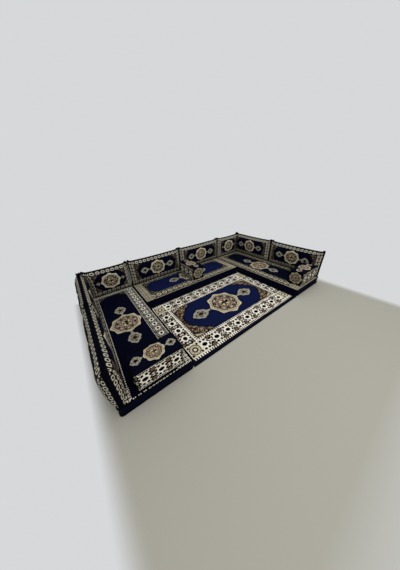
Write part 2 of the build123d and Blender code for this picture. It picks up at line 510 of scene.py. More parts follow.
rugLook = {
    "knot": 0.42,
    "shift": 1.2,
    "bandAt": (84.2, 43.9),
    "bandHalf": (7.6, 8.7),
    "inner": (72.0, 31.2),
    "tooth": 3.0,
    "guard": (2.2, 1.2),  # how far outside the field its middle is, and half its width
    "guardLine": (0.4, 0.6),
    "edge": (0.3, 2.6),  # where the outer teeth and the plain edge begin outside the band
    "scroll": {"Size": 8.5, "ground": "brown", "leaf": "tan", "fleck": "cream"},
    "field": {
        "HalfLength": 67.5, "HalfWidth": 30.8,
        "EndDepth": 26.0, "EndPower": 1.7, "Line": 1.3, "Step": 2.4, "dye": "royal",
    },
    "medallion": {**largeMedallion, "RadiusAlong": 26.0, "RadiusAcross": 26.0, "plain": 0.68},
    "pendants": {
        "Centre": 43.5, "HalfLength": 13.0, "HalfWidth": 10.0, "NeckStart": 24.0, "NeckWidth": 1.5, "Line": 1.4,
        "inner": "stone", "core": "brown",
    },
    "flowers": {
        "Pitch": 17.8, "Size": 4.7, "BlockAt": 6.8, "BlockLong": 1.9, "BlockWide": 1.7, "Dots": 2.9, "Bold": 1.0,
        "ground": "white", "blocks": "tan", "petals": "white",
    },
    "sideFlowers": {"Pitch": 15.8, "Size": 4.5, "BlockAt": 6.2, "BlockLong": 1.7, "BlockWide": 1.6},
    "corner": {"rings": (6.3, 3.2), "petalsAt": 4.7, "blocksAt": 5.9, "frameAt": (7.6, 8.4)},
}


def rugPattern(look, a, c, grain):
    absA, absC = abs(a), abs(c)
    (innerA, innerC), (bandA, bandC), (halfA, halfC) = look["inner"], look["bandAt"], look["bandHalf"]
    # spandrels, then the field
    colour = layScroll(look["scroll"], absA, absC)
    corner = (absA / innerA).raised(2.0) + (absC / innerC).raised(2.0)
    colour = paint(
        colour, ("cream", (corner > 1.66) * ((a + c).wave(2.4) > -0.5)),
        ("ink", (corner > 1.84) * ((a - c).wave(2.4) > -0.2)),
    )
    colour = layMiddle(look, a, c, grain, colour)
    # guards round the field: a dark line and square teeth on a pale stripe
    (guardAt, guardHalf), (lineAt, lineHalf) = look["guard"], look["guardLine"]
    onLongGuard = near(absC, innerC + guardAt, guardHalf) * (absA < innerA + 2.0)
    onShortGuard = near(absA, innerA + guardAt, guardHalf) * (absC < innerC + 2.0)
    toothed = onLongGuard * teeth(a, look["tooth"]) | onShortGuard * teeth(c, look["tooth"])
    longLine = near(absC, innerC + lineAt, lineHalf) * (absA < innerA + 1.0)
    shortLine = near(absA, innerA + lineAt, lineHalf) * (absC < innerC + 1.0)
    # the bands of the long and the short sides, and the squares where they meet
    p, q = absA - bandA, absC - bandC
    onLong, onShort = abs(q) < halfC, abs(p) < halfA
    longBand = layFlowers(look["flowers"], a, q)
    sideFlowers = {**look["flowers"], **look["sideFlowers"]}
    shortBand = layFlowers(sideFlowers, c + sideFlowers["Pitch"] / 2, p)
    square = look["corner"]
    (outerRing, innerRing), petalsAt, blocksAt = square["rings"], square["petalsAt"], square["blocksAt"]
    reach = reachOf(p, q)
    ringed = paint(
        "cream", ("ink", near(reach, outerRing, 0.5) | near(reach, innerRing, 0.35)),
        ("gold", near(reach, petalsAt, 0.75) * (angleOf(p, q).wave(8) > 0.0)),
        ("brown", (reach < 2.9) * (reach > 1.7)), ("white", reach < 1.5),
        ("ink", (reach < 0.6) | near(abs(p), blocksAt, 1.2) * near(abs(q), blocksAt, 1.2)),
    )
    frameA, frameC = square["frameAt"]
    framed = near(abs(p), frameA, 0.6) | near(abs(q), frameC, 0.6)
    framed = framed * (abs(p) < frameA + 0.6) * (abs(q) < frameC + 0.6)
    # the outer guard of teeth and the plain edge
    outer = paint("white", ("ink", teeth(a, look["tooth"])))
    teethAt, edgeAt = (bandC + halfC + step for step in look["edge"])
    return paint(
        colour, ("white", (absA > innerA) | (absC > innerC)), ("ink", toothed), ("ink", longLine | shortLine),
        (longBand, onLong), (shortBand, onShort), (ringed, onLong * onShort), ("white", framed),
        (outer, absC > teethAt), ("ink", absC > edgeAt),
    )


seatLook = {
    "knot": 0.36,
    "half": (95.0, 35.0),
    "bandAt": 26.4,
    "bandHalf": 6.0,
    "inner": (81.0, 19.3),
    "tooth": 2.4,
    "rows": "cream",
    "toothShare": 0.42,
    "edge": (1.4, 1.5),
    "blockPitch": (4.0, 3.2),
    "scroll": {"Size": 5.5, "ground": "umber", "leaf": "ash", "fleck": "stone"},
    "field": {
        "HalfLength": 78.0, "HalfWidth": 18.9,
        "EndDepth": 12.0, "EndPower": 1.8, "Line": 0.9, "Step": 1.6, "dye": "navy",
    },
    "medallion": {**largeMedallion, "RadiusAlong": 18.4, "RadiusAcross": 18.4, "plain": 0.74},
    "pendants": {
        "Centre": 30.5, "HalfLength": 9.2, "HalfWidth": 7.4, "NeckStart": 16.0, "NeckWidth": 1.1, "Line": 1.0,
        "inner": "ash", "core": "brown",
    },
    "flowers": {
        "Pitch": 9.5, "Size": 3.5, "BlockAt": 5.1, "BlockLong": 1.2, "BlockWide": 1.0, "Dots": 1.9, "Bold": 0.7,
        "ground": "stone", "blocks": "ash", "petals": "cream",
    },
}
royalSeatLook = {**seatLook, "field": {**seatLook["field"], "dye": "royal"}}
leftSeatLook = {
    **seatLook,
    "lean": 0.27,
    "leanFrom": (88.0, 183.0, 8.0),  # where it starts, over what length, and from how far across
    "fieldRun": (-92.6, -58.0),  # where the field runs on under the armrest
    "rows": "white",
    "flowers": {**seatLook["flowers"], "Size": 2.9, "ground": "grey", "petals": "white", "Bold": 0.6},
}


def seatPattern(look, a, c, grain):
    absA, absC = abs(a), abs(c)
    (innerA, innerC), (halfA, halfC), (edgeA, edgeC) = look["inner"], look["half"], look["edge"]
    fromBand = absC - look["bandAt"]
    colour = layMiddle(look, a, c, grain, layScroll(look["scroll"], absA, absC))
    band = layFlowers(look["flowers"], a + look["flowers"]["Pitch"] / 2, fromBand)
    rows = paint(look["rows"], ("ink", teeth(a, look["tooth"], look["toothShare"])))
    ends = layBlocks(absA - innerA, c, look["blockPitch"], "sand", look["rows"])
    colour = paint(
        colour, ("ink", (absA > innerA - 0.9) | (absC > innerC - 0.5)),
        (rows, (absA > innerA) | (absC > innerC)), (band, abs(fromBand) < look["bandHalf"]),
        ("ink", near(abs(fromBand), look["bandHalf"], 0.25)), (ends, absA > innerA + 0.6),
    )
    if "fieldRun" in look:
        low, high = look["fieldRun"]
        colour = paint(colour, (look["field"]["dye"], (a < high) * (a > low) * (absC < innerC - 0.5)))
    return paint(colour, ("ink", (absA > halfA - edgeA) | (absC > halfC - edgeC)))


backLook = {
    "knot": 0.30,
    "lift": 2.0,
    "sideAt": 39.2,
    "rowsAt": 13.9,
    "rowPitch": (6.6, 4.7),
    "sidePitch": (3.4, 5.8),
    "blocks": ("stone", "linen"),
    "scroll": {"Size": 4.6, "ground": "umber", "leaf": "rose", "fleck": "stone"},
    "field": {
        "HalfLength": 33.6, "HalfWidth": 12.9,
        "EndDepth": 6.5, "EndPower": 2.6, "Line": 0.9, "Step": 1.5, "dye": "navy",
    },
    "medallion": {
        **creamMedallion, "RadiusAlong": 14.0, "RadiusAcross": 12.8, "plain": 0.74,
        "rimLine": "grey", "petals": "brown", "specks": "umber", "heart": "umber",
    },
    "pendants": {
        "Centre": 23.4, "HalfLength": 6.6, "HalfWidth": 5.4, "NeckStart": 12.5, "NeckWidth": 0.8, "Line": 0.9,
        "inner": "ash", "core": "ink",
    },
}
leftBackLook = {**backLook, "rowPitch": (5.2, 4.7), "blocks": ("ash", "linen")}
shortBackLook = {
    **backLook,
    "sideAt": 22.2,
    "field": {**backLook["field"], "HalfLength": 21.6, "HalfWidth": 12.9, "EndDepth": 9.0, "EndPower": 1.5},
    "pendants": {**backLook["pendants"], "Centre": 17.6, "HalfLength": 2.6, "HalfWidth": 2.0, "NeckWidth": 0.6},
}


def backPattern(look, a, c, grain):
    absA, absC = abs(a), abs(c)
    sideAt, rowsAt = look["sideAt"], look["rowsAt"]
    colour = layMiddle(look, a, c, grain, layScroll(look["scroll"], absA, c))
    rows = layBlocks(a, absC - rowsAt - look["rowPitch"][1] / 2, look["rowPitch"], *look["blocks"])
    columns = layBlocks(absA - sideAt - look["sidePitch"][0] / 2, c, look["sidePitch"], *look["blocks"])
    lines = near(absA, sideAt, 0.35) | near(absC, rowsAt, 0.35) * (absA < sideAt)
    return paint(colour, (rows, absC > rowsAt), (columns, absA > sideAt), ("ink", lines))


armTopLook = {
    "knot": 0.28,
    "ground": "navy",
    "medallion": {
        **creamMedallion, "RadiusAlong": 9.7, "RadiusAcross": 9.4, "plain": 0.70,
        "rimLine": "tan", "petals": "brown", "specks": "rose", "heart": "brown",
    },
    "pendants": {
        "Centre": 15.9, "HalfLength": 4.9, "HalfWidth": 4.3, "NeckStart": 8.0, "NeckWidth": 0.6, "Line": 0.8,
        "inner": "ash", "core": "ink",
    },
}
armEndLook = {
    "knot": 0.28,
    "ground": "ink",
    "medallion": {
        "RadiusAlong": 9.8, "RadiusAcross": 9.8, "Depth": 0.16, "Line": 0.05, "plain": 0.66, "ring": "gold",
        "rim": "sand", "rimLine": "ash", "rosette": "sand", "petals": "rose", "specks": "umber", "heart": "umber",
    },
}
armSideLook = {
    "knot": 0.28,
    "half": (21.6, 9.6),
    "tooth": 1.4,
    "flowers": {
        "Pitch": 14.1, "Size": 3.9, "BlockAt": 5.6, "BlockLong": 1.5, "BlockWide": 1.6, "Dots": 2.4, "Bold": 1.4,
        "ground": "sand", "blocks": "tan", "petals": "white",
    },
}
leftSideLook = {**armSideLook, "flowers": {**armSideLook["flowers"], "Bold": 1.15, "ground": "white"}}


def armPattern(look, a, c, grain):
    return layMiddle(look, a, c, grain, look["ground"])


def armSidePattern(look, a, c, grain):
    halfA, halfC = look["half"]
    rows = paint("ink", ("white", teeth(a, look["tooth"])))
    return paint(
        layFlowers(look["flowers"], a, c), (rows, abs(c) > halfC - 1.2),
        ("ink", (abs(a) > halfA) | (abs(c) > halfC + 0.3)),
    )


def wovenCloth(name, colour, thread=0.12):
    material, tree, shader = startCloth(name, 0.85)
    along, across = flatPlace(tree)
    w = useGroup(plainWeave, Colour=colour, Along=along, Across=across, Thread=thread)
    feed(shader.inputs["Base Color"], w["Colour"])
    raiseSurface(shader, w["Height"], 0.8 * mm)
    return material


def cordCloth(name, colour, wearAndHighlight):
    # A covered cord: slanting ribs round its length, their crests painted lighter as a painted highlight, mixed
    # with random rubbed wear
    material, tree, shader = startCloth(name, 0.85)
    along, around = flatPlace(tree)
    ribs = (along / 0.35 + around).wave(fullTurn) * 0.5 + 0.5
    # painted highlight on the rib crests, plus random rubbed wear from the noise
    rubAndHighlight = ribs * 0.5 + (noise(piecePlace(tree), 30.0, 3.0) - 0.5) * 0.8
    feed(shader.inputs["Base Color"], paint(colour, (wearAndHighlight, rubAndHighlight.do("MAXIMUM", 0.0))))
    raiseSurface(shader, ribs, 0.8 * mm, 0.8)
    return material


def zipTapeCloth(name, colour, rubAndHighlight):
    # A knitted tape, read in the frame because the CAD node carries no flat cut; its colour is lighter on the
    # raised ribs, a painted highlight
    material, tree, shader = startCloth(name, 0.7, 0.1)
    x, y, z = split(piecePlace(tree))
    rib = (x + y).sway(2600) * 0.5 + z.sway(3000) * 0.5
    # painted highlight: lighter where the ribs rise
    feed(shader.inputs["Base Color"], paint(colour, (rubAndHighlight, rib * 0.3 + 0.4)))
    raiseSurface(shader, rib, 0.6 * mm)
    return material


def brass(name, bright, dull):
    material, tree, shader = startCloth(name, 0.35)
    wearAndHighlight = noise(piecePlace(tree), 90.0, 4.0)
    feed(shader.inputs["Base Color"], paint(bright, (dull, wearAndHighlight)))
    feed(shader.inputs["Metallic"], 1.0)
    feed(shader.inputs["Roughness"], wearAndHighlight * 0.3 + 0.25)
    raiseSurface(shader, wearAndHighlight, 0.3 * mm)
    return material


cloths = {
    "rug": pileCloth("rugPile", rugLook, rugPattern),
    "seatNavy": pileCloth("seatPileNavy", seatLook, seatPattern),
    "seatLeft": pileCloth("seatPileLeft", leftSeatLook, seatPattern),
    "seatRoyal": pileCloth("seatPileRoyal", royalSeatLook, seatPattern),
    "back": pileCloth("backPile", backLook, backPattern),
    "leftBack": pileCloth("leftBackPile", leftBackLook, backPattern),
    "shortBack": pileCloth("shortBackPile", shortBackLook, backPattern),
    "armTop": pileCloth("armrestTopPile", armTopLook, armPattern),
    "armSide": pileCloth("armrestSidePile", armSideLook, armSidePattern),
    "leftSide": pileCloth("leftArmrestSidePile", leftSideLook, armSidePattern),
    "armEnd": pileCloth("armrestEndPile", armEndLook, armPattern),
    "band": wovenCloth("navyBand", tone(7, 9, 30)),
    "base": wovenCloth("baseCloth", tone(24, 24, 28), 0.2),
    "binding": wovenCloth("rugBindingCloth", tone(8, 9, 24), 0.18),
    # the piping's second tone is a painted highlight on its ribs mixed with rubbed wear; the zip tape's second
    # tone is a painted highlight on its ribs
    "cord": cordCloth("blackPiping", "ink", tone(14, 14, 18)),
    "zipTape": zipTapeCloth("zipTape", tone(20, 22, 34), tone(44, 46, 60)),
    "brass": brass("zipSliderMetal", tone(150, 122, 72), tone(96, 78, 50)),
}
print("cloths ready")


def addPiece(name, verts, faces, uvs, slots=None):
    # A smooth mesh with its flat cut in metres
    mesh = bpy.data.meshes.new(name)
    mesh.from_pydata(np.asarray(verts).tolist(), [], np.asarray(faces).tolist())
    if slots is not None:
        mesh.polygons.foreach_set("material_index", np.asarray(slots, np.int32))
    mesh.uv_layers.new(name="patternUv").data.foreach_set("uv", np.asarray(uvs, np.float32).ravel())
    mesh.polygons.foreach_set("use_smooth", np.ones(len(mesh.polygons), bool))
    piece = bpy.data.objects.new(name, mesh)
    scene.collection.objects.link(piece)
    return piece


def readPoints(mesh):
    points = np.zeros(len(mesh.vertices) * 3, np.float32)
    mesh.vertices.foreach_get("co", points)
    return points.reshape(-1, 3).astype(float)


def writePoints(mesh, points):
    mesh.vertices.foreach_set("co", np.asarray(points, np.float32).ravel())
    mesh.update()


def dress(piece, place, body, nodes, names, levels=0):
    # Gives a piece its cloths and its place in the frame
    for name in names:
        piece.data.materials.append(cloths[name])
    if levels:
        subdivide = piece.modifiers.new("Smooth", "SUBSURF")
        subdivide.levels = subdivide.render_levels = levels
        subdivide.uv_smooth = "NONE"
    piece.matrix_world = place
    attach(piece, body)
    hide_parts(*nodes)


def turned(degrees, axis="Z"):
    return Matrix.Rotation(math.radians(degrees), 4, axis)


def boxOf(node):
    low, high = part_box(node)
    return (low + high) / 2, high - low


def twoPanels(nu, nv):
    # The faces of a panel in turn with those of the same panel under it, and the ring of points round it
    index = np.arange((nu + 1) * (nv + 1)).reshape(nu + 1, nv + 1)
    ring = np.concatenate([index[:-1, 0], index[-1, :-1], index[:0:-1, -1], index[0, :0:-1]])
    quads = np.stack([index[:-1, :-1], index[1:, :-1], index[1:, 1:], index[:-1, 1:]], -1).reshape(-1, 4)
    corners = np.stack([quads, quads[:, ::-1]], 1).reshape(-1, 4)
    faces = corners + np.tile([[0], [index.size]], (len(quads), 1))
    return index.size, corners, faces, ring


def sideFaces(upper, lower):
    return np.stack([upper, lower, np.roll(lower, -1), np.roll(upper, -1)], -1)


def loopFaces(stations, sides):
    # The faces of a closed section carried round a closed loop
    k, i = np.divmod(np.arange(stations * sides), sides)
    k2, i2 = (k + 1) % stations, (i + 1) % sides
    return np.stack([k * sides + i, k2 * sides + i, k2 * sides + i2, k * sides + i2], -1)


def spread(count):
    # Places from -1 to 1, closer together towards both ends
    t = np.linspace(-1, 1, count + 1)
    return 0.6 * t + 0.4 * np.sin(t * math.pi / 2)


panelCurve = {"steep": 2.5, "round": 0.6}


def rise(inset, margin):
    # How far a stuffed panel has left its seam, from 0 there to 1 a margin further in
    return 1 - (1 - np.clip(inset / margin, 0, 1)) ** panelCurve["steep"]


def planPoint(s, t, pad):
    # The pad's plan: a rectangle with rounded corners and sides that draw in between them
    x, y, corner = pad["length"] / 2, pad["width"] / 2, pad["corner"]
    px, py = s * x, t * y
    a = np.clip((np.abs(px) - (x - corner)) / corner, 0, 1)
    b = np.clip((np.abs(py) - (y - corner)) / corner, 0, 1)
    qx = np.where(a > 0, np.sign(px) * (x - corner + corner * a * np.sqrt(1 - b * b / 2)), px)
    qy = np.where(b > 0, np.sign(py) * (y - corner + corner * b * np.sqrt(1 - a * a / 2)), py)
    draw, drawEnd = pad["draw"]
    qy = qy - np.sign(t) * np.abs(t) ** 3 * draw * (1 - s * s)
    qx = qx - np.sign(s) * np.abs(s) ** 3 * drawEnd * (1 - t * t)
    if "ear" in pad:  # the corners of the upper edge stand up
        atEnd = np.exp(-(((x - np.abs(px)) / pad["earWidth"]) ** 2))
        qy = qy + pad["ear"] * atEnd * np.clip((py / y - pad["earFrom"]) / (1 - pad["earFrom"]), 0, 1) ** 2
    if "cornerEnd" in pad:  # the end that lies in the corner closes up to its neighbour's crowned panel
        above, midway, below = pad["cornerReach"]
        level = rise(y - np.abs(py) - corner, pad["margin"]) ** panelCurve["round"]
        reach = np.where(py > 0, above, below) * (1 - level ** 1.5) + midway * level ** 1.5
        qx = qx + pad["cornerEnd"] * np.clip(pad["cornerEnd"] * px / x, 0, 1) ** 3 * reach
    return qx, qy


def crownShare(px, py, pad):
    # How far a panel has risen, from 0 at the seam to 1 in the middle
    x, y = pad["length"] / 2, pad["width"] / 2
    fullness = np.where(px * pad["fullEnd"] > 0, pad["fullness"], 1.0) if "fullEnd" in pad else 1.0
    toEnd = (x - np.abs(px)) * fullness
    return (rise(toEnd, pad["margin"]) * rise(y - np.abs(py), pad["margin"])) ** panelCurve["round"]


def padMesh(name, pad):
    # A closed pad: two panels joined by rows of side cloth; also its two seams and the points of a panel
    nu, nv = pad["cells"]
    s, t = np.meshgrid(spread(nu), spread(nv), indexing="ij")
    plan = np.stack(planPoint(s, t, pad), -1).reshape(-1, 2)
    flatU, flatV = s * pad["length"] / 2, t * pad["width"] / 2
    crown = crownShare(flatU, flatV, pad).reshape(-1, 1)
    count, corners, faces, ring = twoPanels(nu, nv)
    cut = np.stack([flatU, flatV], -1).reshape(-1, 2)
    high, low, rows = pad["high"], pad["low"], pad["rows"]
    verts = [np.hstack([plan, high + pad["crown"] * crown]), np.hstack([plan, low - pad["lowCrown"] * crown])]
    rings = [ring]
    for row in range(1, rows):
        share = row / rows
        edge = plan[ring]
        bulge = pad["bulge"] * 4 * share * (1 - share)
        edge = edge * (1 + bulge / np.maximum(np.linalg.norm(edge, axis=1, keepdims=True), 1e-6))
        verts.append(np.hstack([edge, np.full((len(ring), 1), high + (low - high) * share)]))
        rings.append(2 * count + (row - 1) * len(ring) + np.arange(len(ring)))
    rings.append(ring + count)
    slots, uvs, faces = [np.tile([0, 3], len(faces) // 2)], [cut[corners].reshape(-1, 2)], [faces]
    onEnd = np.repeat([0, 1, 0, 1], [nu, nv, nu, nv])  # whether a side face is on a short end
    start = cut[ring][np.arange(len(ring)), onEnd]
    end = cut[np.roll(ring, -1)][np.arange(len(ring)), onEnd]
    levels = [np.full(len(ring), (high - low) * (0.5 - row / rows)) for row in range(rows + 1)]
    for row in range(rows):
        over, under = levels[row], levels[row + 1]
        faces.append(sideFaces(rings[row], rings[row + 1]))
        slots.append(1 + onEnd)
        uvs.append(np.stack([start, over, start, under, end, under, end, over], -1).reshape(-1, 2))
    piece = addPiece(name, *(np.concatenate(parts) for parts in (verts, faces, uvs, slots)))
    seam = set(ring.tolist()) | set((ring + count).tolist())
    onSeam = [pad["crease"] if seam.issuperset(edge.vertices) else 0.0 for edge in piece.data.edges]
    crease = piece.data.attributes.new("crease_edge", "FLOAT", "EDGE")
    crease.data.foreach_set("value", np.array(onSeam, np.float32))
    return piece, (ring, ring + count), count


stuffing = {"frames": 20, "quality": 4, "mass": 0.4, "stretch": 20, "shear": 8, "bend": 1.5}
waiting = []  # pads whose cloth is still to be blown up


def blowUp(piece, pinned, pad):
    group = piece.vertex_groups.new(name="seam")
    group.add([int(i) for i in pinned], 1.0, "REPLACE")
    cloth = piece.modifiers.new("Cloth", "CLOTH").settings
    cloth.quality, cloth.mass = stuffing["quality"], stuffing["mass"]
    cloth.tension_stiffness = cloth.compression_stiffness = stuffing["stretch"]
    cloth.shear_stiffness, cloth.bending_stiffness = stuffing["shear"], stuffing["bend"]
    cloth.use_pressure = True
    cloth.uniform_pressure_force = pad["pressure"]
    cloth.vertex_group_mass = "seam"
    cloth.effector_weights.gravity = 0
    cloth.shrink_min = -pad["shrink"]
    waiting.append((piece, pad["cap"]))


def runCloth():
    # Steps all waiting pads together, holds each point near its start, and leaves plain meshes
    starts = [readPoints(piece.data) for piece, cap in waiting]
    for number in range(1, stuffing["frames"] + 1):
        scene.frame_set(number)
    ready = bpy.context.evaluated_depsgraph_get()
    for (piece, cap), start in zip(waiting, starts):
        moved = readPoints(piece.evaluated_get(ready).data) - start
        size = np.linalg.norm(moved, axis=1, keepdims=True)
        moved *= np.tanh(size / cap) * cap / np.maximum(size, 1e-9)
        piece.modifiers.clear()
        writePoints(piece.data, start + moved)
    scene.frame_set(1)
    for piece, cap in waiting:
        piece.modifiers.clear()


def softenPanel(piece, count, pad):
    # Broad shallow dents and rises, which no two pads share; stays between two heights where they are given
    draw = random.Random(pad["seed"])
    points = readPoints(piece.data)
    sizeX, sizeY = np.ptp(points[:, 0]), np.ptp(points[:, 1])
    wide, still = 0.9, 0.06  # the length that the waves are counted on, and the still strip at the seams
    for start, sign in ((0, 1), (count, -1)):
        part = slice(start, start + count)
        x, y = points[part, 0] / sizeX, points[part, 1] / sizeY
        wave = np.zeros(count)
        for _ in range(7):
            kx, ky = draw.uniform(1, 5) * sizeX / wide, draw.uniform(1, 5) * sizeY / wide
            wave += np.sin(fullTurn * (kx * x + draw.choice((-1, 1)) * ky * y) + draw.uniform(0, 6.28)) / 3
        hold = np.clip((0.5 - np.abs(x)) * sizeX / still, 0, 1) * np.clip((0.5 - np.abs(y)) * sizeY / still, 0, 1)
        points[part, 2] += sign * wave * hold * pad["dents"]
        if "heights" in pad:
            points[part, 2] = np.clip(points[part, 2], *pad["heights"])
    writePoints(piece.data, points)


def smoothLoop(points):
    # Twice as many points on a closed loop, on a curve through the given ones
    before, start, end, after = (np.roll(points, k, 0) for k in (1, 0, -1, -2))
    return np.stack([start, (9 * (start + end) - before - after) / 16], 1).reshape(-1, 3)


def cordLoop(points, pad, lift, seed, swell, sides=8):
    # A cord round a closed loop of points, pushed outwards from its middle; swell thickens it inwards
    n = len(points)
    ahead = np.roll(points, -1, 0) - np.roll(points, 1, 0)
    ahead /= np.linalg.norm(ahead, axis=1, keepdims=True)
    up = np.array([0, 0, 1.0])
    out = np.cross(ahead, up)
    out /= np.linalg.norm(out, axis=1, keepdims=True)
    radius = pad["cordRadius"] * (1 + swell[:, None])
    centre = points + out * (pad["cordOut"] - radius + radius.min()) + up * lift
    draw = random.Random(seed)
    phases = [draw.uniform(0, 6.28) for _ in range(4)]
    run = np.cumsum(np.linalg.norm(np.roll(points, -1, 0) - points, axis=1))
    shake = sum(np.sin(run / run[-1] * fullTurn * k + p) for k, p in zip((9, 17, 31, 53), phases))
    centre += out * (shake * pad["cordWobble"] / 2)[:, None]
    turns = [fullTurn * i / sides for i in range(sides)]
    verts = np.stack([centre + (out * math.cos(turn) + up * math.sin(turn)) * radius for turn in turns], 1)
    run = np.concatenate([[0], run])
    uvs = [
        (run[kk], ii / sides / 100) for k in range(n) for i in range(sides)
        for kk, ii in ((k, i), (k + 1, i), (k + 1, i + 1), (k, i + 1))
    ]
    return verts.reshape(-1, 3), loopFaces(n, sides), np.array(uvs)


def layPiping(name, points, seams, pad, place):
    # Both cords of a pad as one piece with two loops
    verts, faces, uvs = [], [], []
    for index, (seam, lift) in enumerate(zip(seams, pad["cordLift"])):
        loop = smoothLoop(points[seam])
        swell = np.zeros(len(loop))
        if "cordSwell" in pad:  # the gathered corners of the upper edge
            away = np.hypot(np.abs(loop[:, 0]) - pad["length"] / 2, loop[:, 1] - pad["width"] / 2 - pad["ear"])
            swell = pad["cordSwell"] * np.exp(-((away / pad["earWidth"]) ** 2))
        ringPoints, ringFaces, ringUvs = cordLoop(loop, pad, lift, len(name) + index, swell)
        faces.append(ringFaces + sum(map(len, verts)))
        verts.append(ringPoints)
        uvs.append(ringUvs)
    piece = addPiece(name, *(np.concatenate(parts) for parts in (verts, faces, uvs)))
    dress(piece, place, pad["body"], [f"{pad['node']}_piping"], ["cord"])


leftCloths = ("leftBack", "band", "band", "leftBack")
cornerPad = {"turn": 0, "cells": (42, 30), "cloths": ("shortBack", "band", "band", "shortBack")}
backPad = {
    "name": "backCushion", "prefix": "back", "parts": ("cover", "filling"), "stands": True,
    "slot": "cushion_cloth", "cloths": ("back", "band", "band", "back"), "fill": 0.85,
    "cells": (66, 30), "rows": 4, "crease": 0.75,
    "corner": 12 * mm, "draw": (8 * mm, 1.5 * mm), "bulge": 1.5 * mm,
    "high": 13 * mm, "low": -13 * mm, "crown": 50 * mm, "lowCrown": 60 * mm, "margin": 0.150, "fullness": 2.6,
    "ear": 26 * mm, "earWidth": 24 * mm, "earFrom": 0.55,
    "cordRadius": 7.0 * mm, "cordSwell": 0.7, "cordOut": 5.2 * mm, "cordLift": (0.5 * mm, -0.5 * mm),
    "cordWobble": 0.5 * mm, "cordReach": 12.2 * mm,
    "pressure": 3.0, "cap": 7 * mm, "shrink": 0.012, "firstSeed": 11, "dents": 1.6 * mm,
    # the way each cushion faces in degrees; the end that lies in a corner is stuffed full, or reaches out
    # above, midway and below
    "each": {
        "left_front": {"turn": 90, "cloths": leftCloths},
        "left_rear": {"turn": 90, "cloths": leftCloths, "fullEnd": 1},
        "corner_left": {**cornerPad, "cornerEnd": -1, "cornerReach": (49 * mm, 7 * mm, 12 * mm)},
        "wall_left": {"turn": 0},
        "wall_right": {"turn": 0},
        "corner_right": {**cornerPad, "cornerEnd": 1, "cornerReach": (42 * mm, 0.0, 3 * mm)},
        "right_rear": {"turn": -90, "fullEnd": -1},
        "right_front": {"turn": -90},
    },
}

boxPad = {  # what armrests and seats share
    "stands": False, "crease": 0.75,
    "low": 5.6 * mm, "base": 0.2 * mm, "crown": 10 * mm, "lowCrown": 0.0,
    "cordRadius": 5.6 * mm, "cordOut": 4.9 * mm, "cordLift": (0.0, 0.2 * mm), "cordReach": 10.8 * mm,
}

armrestPad = {
    **boxPad, "name": "armrest", "parts": ("cover", "foam"),
    "slot": "armrest_cloth", "cloths": ("armTop", "armSide", "armEnd", "base"), "fill": 0.95,
    "cells": (34, 18), "rows": 12, "corner": 12 * mm, "draw": (4 * mm, 2 * mm), "bulge": 2.0 * mm,
    "high": 0.212, "margin": 0.070, "cordWobble": 0.4 * mm,
    "pressure": 2.5, "cap": 5 * mm, "shrink": 0.01, "firstSeed": 31, "dents": 1.0 * mm,
    "each": {
        "left": {"turn": 0, "cloths": ("armTop", "leftSide", "armEnd", "base")},
        "middle": {"turn": 90},
        "right": {"turn": 180},
    },
}

seatPad = {
    **boxPad, "name": "seat", "parts": ("top_panel", "side_band", "base_panel", "foam"),
    "body": "floor_set", "slot": "seat_top_cloth", "fill": 1.0,
    "cells": (96, 38), "rows": 6, "corner": 22 * mm, "draw": (3 * mm, 1.0 * mm), "bulge": 1.5 * mm,
    "high": 0.101, "margin": 0.080, "heights": (0.0, 0.111), "cordWobble": 0.5 * mm,
    "pressure": 1.2, "cap": 4 * mm, "shrink": 0.008, "firstSeed": 51, "dents": 1.2 * mm,
    "each": {
        "left": {"turn": 90, "cloths": ("seatLeft", "band", "band", "base")},
        "middle": {"turn": 0, "cloths": ("seatRoyal", "band", "band", "base")},
        "right": {"turn": -90, "cloths": ("seatNavy", "band", "band", "base")},
    },
}


def layPads(settings):
    # Cuts and places every pad of a kind by the box of its piping, and leaves its cloth waiting
    laid = []
    for number, (row, own) in enumerate(settings["each"].items()):
        node = f"{settings.get('prefix', settings['name'])}_{row}"
        pad = {"body": node, **settings, **own, "node": node, "seed": settings["firstSeed"] + number}
        centre, size = boxOf(f"{node}_piping")
        reach = 2 * pad["cordReach"]
        pad["length"] = max(size.x, size.y) - reach
        pad["width"] = (size.z if pad["stands"] else min(size.x, size.y)) - reach
        if not pad["stands"]:
            centre.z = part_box(f"{node}_cover")[0].z if "cover" in pad["parts"] else 0
        place = Matrix.Translation(centre) @ turned(pad["turn"])
        if pad["stands"]:
            place = place @ turned(90, "X")
        piece, seams, count = padMesh(f"{pad['name']}_{row}", pad)
        pinned = seams[1] if pad["stands"] else np.arange(count, 2 * count)
        blowUp(piece, np.concatenate([seams[0], pinned]), pad)
        laid.append((row, pad, piece, seams, count, place))
    return laid


pads = layPads(backPad) + layPads(armrestPad) + layPads(seatPad)
runCloth()
print("cloth stepped")

for row, pad, piece, seams, count, place in pads:
    softenPanel(piece, count, pad)
    points = readPoints(piece.data)
    if not pad["stands"]:  # it lies flat on its base
        points[count : 2 * count, 2] = pad["base"]
        points[seams[1], 2] = pad["low"]
        writePoints(piece.data, points)
    nodes = [f"{pad['node']}_{part}" for part in pad["parts"]]
    dress(piece, place, pad["body"], nodes, pad["cloths"], levels=1)
    layPiping(f"{pad['name']}Piping_{row}", points, seams, pad, place)
print("pads dressed")

rug = {
    "cells": (114, 72),
    "height": 8.6 * mm,
    "low": 0.3 * mm,
    "edge": 2.2 * mm,
    "edgeWidth": 42 * mm,
    "slope": (8 * mm, 10 * mm),  # where the pile starts to rise before the edge strip, and over what width
    "ripple": 0.8 * mm,
    # the edge strip in mm from outside to inside: how far in, how high; then how much its top wavers
    "section": [(0, 2.2), (0, 5), (0.8, 6.4), (2.5, 7), (20, 7.3), (39, 7), (41, 6.2), (41.6, 5), (41.6, 2.2)],
    "steps": (90, 58),
    "drift": 0.25,
}


